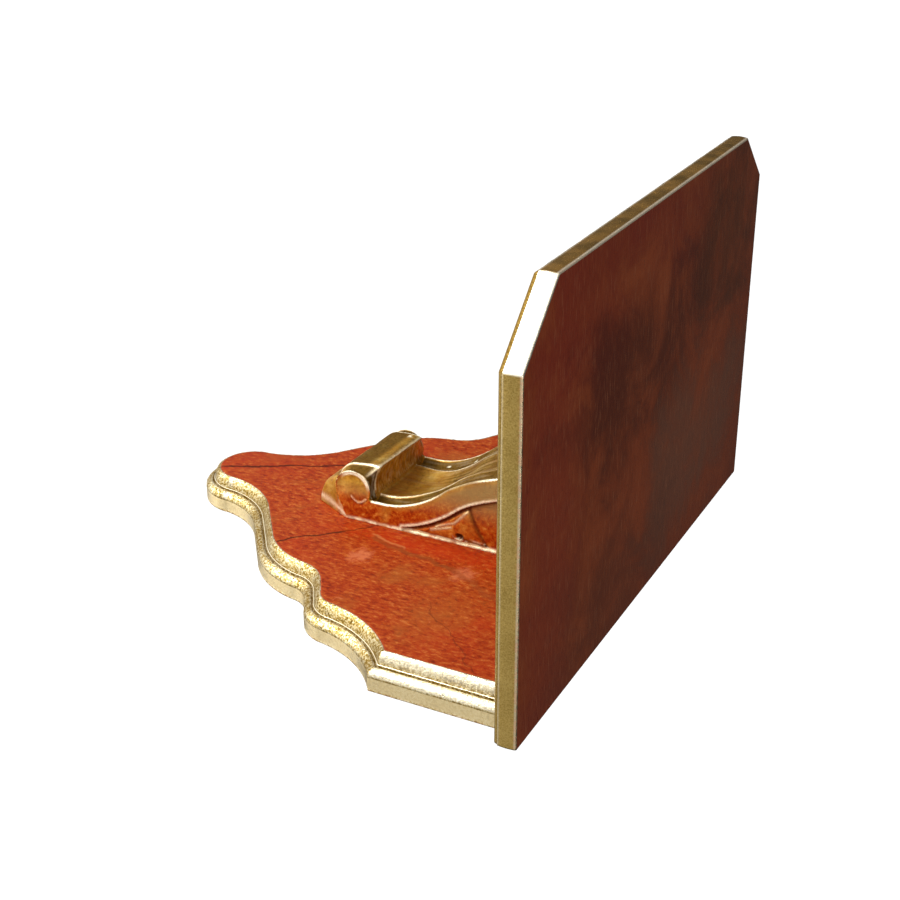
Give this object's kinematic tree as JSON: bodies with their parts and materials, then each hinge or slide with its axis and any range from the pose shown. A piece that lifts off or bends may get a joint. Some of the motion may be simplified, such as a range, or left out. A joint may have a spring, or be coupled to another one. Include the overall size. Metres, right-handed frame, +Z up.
{
  "type": "wall bracket",
  "caption": "Carved wall bracket: a clipped-corner shelf on a serpentine back plate with a moulded gilded edge and a scroll console.",
  "frame": {"origin": "the fixing point, in the middle of the back plate's wall face, 50 mm below the shelf's top", "axes": "+Y into the wall, so -Y points out to the room, +Z up to the shelf, +X to the right as seen from the front"},
  "size_m": [0.32, 0.213, 0.274],
  "materials": {
    "dark_lacquer": "glossy dark red-brown lacquer, gilded on the moulded edge",
    "red_paint": "orange-red marbled paint under varnish, gilded on the moulded edge",
    "gilding": "worn gilding over carved wood, red paint on the sides"
  },
  "bodies": {
    "root": {"shelf": "dark_lacquer", "back_plate": "red_paint", "console": "gilding"}
  },
  "joints": []
}
